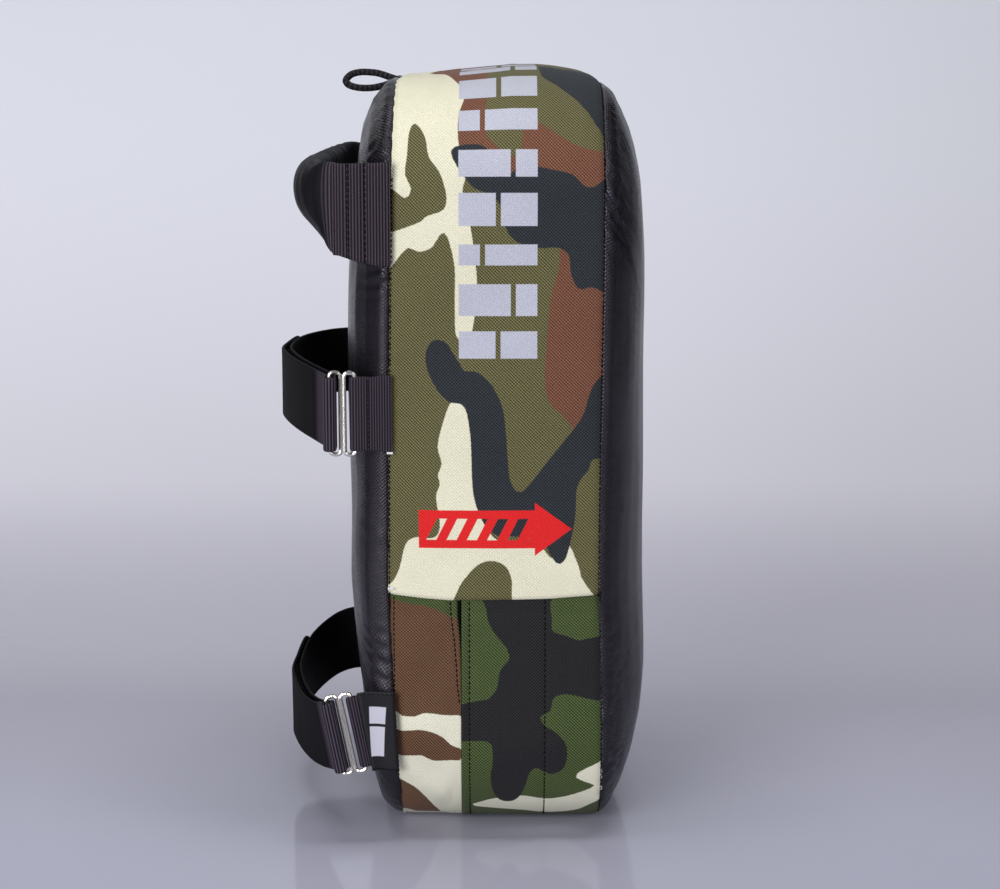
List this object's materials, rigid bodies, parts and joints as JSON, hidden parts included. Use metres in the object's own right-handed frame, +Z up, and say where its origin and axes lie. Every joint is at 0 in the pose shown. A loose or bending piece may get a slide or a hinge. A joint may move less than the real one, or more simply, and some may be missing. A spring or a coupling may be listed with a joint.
{
  "type": "kick pad",
  "caption": "Tall padded strike shield for the forearm, with a dished leather face, a fabric gusset with a taped opening, a padded handle and adjustable straps on wire slides.",
  "frame": {"origin": "centre of the flat underside that the pad stands on", "axes": "+Z up along the pad's length, +X out of the strike face, -X towards the forearm straps, Y across the width"},
  "size_m": [0.1974, 0.2099, 0.4032],
  "materials": {
    "leather": "black synthetic leather, diagonal emboss",
    "camo_cloth": "printed woven nylon, camouflage",
    "webbing": "black ribbed webbing",
    "strap_tail": "smooth black laminated cloth",
    "hook_tape": "black hook tape",
    "loop_tape": "black loop tape",
    "firm_foam": "closed-cell foam, firm",
    "soft_foam": "closed-cell foam, soft",
    "thin_foam": "closed-cell foam",
    "slide_wire": "plated steel wire",
    "label": "black moulded label with a plain pale shape",
    "cord": "braided black cord"
  },
  "bodies": {
    "pad": {"strike_panel": "leather", "back_panel": "leather", "upper_gusset": "camo_cloth", "lower_gusset_rear": "camo_cloth", "lower_gusset_front": "camo_cloth", "closure_hook_tape": "hook_tape", "closure_loop_tape": "loop_tape", "core_front": "firm_foam", "core_mid": "soft_foam", "core_back": "thin_foam", "hang_loop": "cord", "handle_near_anchor": "webbing", "handle_far_anchor": "webbing", "mid_strap": "webbing", "mid_loop_tape": "loop_tape", "mid_tab": "webbing", "lower_strap": "webbing", "lower_loop_tape": "loop_tape", "lower_tab": "webbing", "label_patch": "label"},
    "handle": {"handle_cover": "strap_tail", "handle_foam": "firm_foam", "handle_webbing": "webbing"},
    "mid_slide_body": {"mid_slide": "slide_wire"},
    "mid_tail_body": {"mid_tail": "strap_tail", "mid_hook_tape": "hook_tape"},
    "lower_slide_body": {"lower_slide": "slide_wire"},
    "lower_tail_body": {"lower_tail": "strap_tail", "lower_hook_tape": "hook_tape"}
  },
  "joints": [
    {"name": "handle_turn", "type": "hinge", "parent": "pad", "child": "handle", "pos_m": [-0.079, 0, 0.336], "axis": [0, 1, 0], "range_deg": [-15, 15]},
    {"name": "mid_slide_rock", "type": "hinge", "parent": "pad", "child": "mid_slide_body", "pos_m": [-0.0732, -0.1015, 0.23], "axis": [0, 0, 1], "range_deg": [-10, 10]},
    {"name": "mid_tail_peel", "type": "hinge", "parent": "pad", "child": "mid_tail_body", "pos_m": [-0.091, -0.0902, 0.23], "axis": [0, 0, 1], "range_deg": [0, 90]},
    {"name": "lower_slide_rock", "type": "hinge", "parent": "pad", "child": "lower_slide_body", "pos_m": [-0.07333, -0.1015, 0.0613], "axis": [-0.1994, 0, 0.9799], "range_deg": [-10, 10]},
    {"name": "lower_tail_peel", "type": "hinge", "parent": "pad", "child": "lower_tail_body", "pos_m": [-0.09077, -0.0902, 0.05509], "axis": [-0.1994, 0, 0.9799], "range_deg": [0, 90]}
  ]
}
